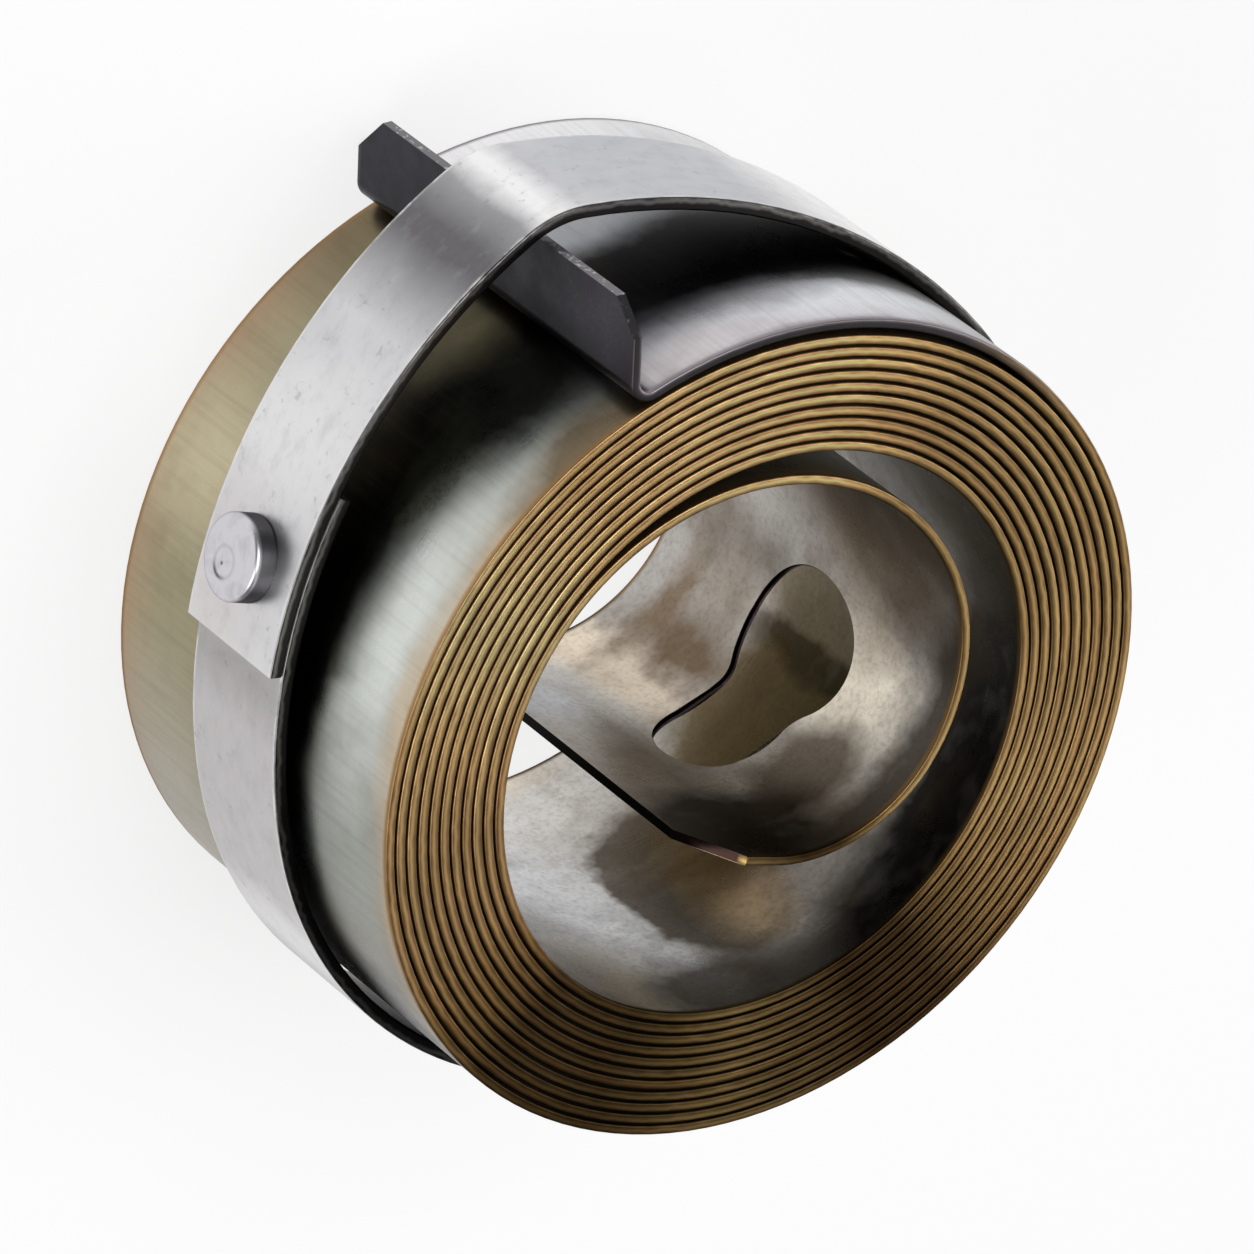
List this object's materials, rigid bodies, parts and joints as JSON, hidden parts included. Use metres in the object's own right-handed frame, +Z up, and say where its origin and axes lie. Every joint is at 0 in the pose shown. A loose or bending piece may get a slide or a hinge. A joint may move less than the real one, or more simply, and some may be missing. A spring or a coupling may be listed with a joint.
{
  "type": "spiral power spring",
  "caption": "Flat steel strip wound into a tight spiral, with an outward hook outside and a slotted curl inside, held wound by a riveted retaining band.",
  "frame": {"origin": "centre of the coil in the plane of the rim it stands on", "axes": "+Z up along the coil's axis, +Y towards the outer hook; the strip winds outward counter-clockwise seen from +Z"},
  "size_m": [0.0828, 0.0919, 0.045],
  "materials": {
    "spring_steel": "tempered spring steel, straw to grey-brown, satin",
    "band_steel": "plain steel strapping, light satin grey",
    "rivet_steel": "bright plain steel"
  },
  "bodies": {
    "root": {"spring_strip": "spring_steel", "retaining_band": "band_steel", "lap_rivet": "rivet_steel"}
  },
  "joints": []
}
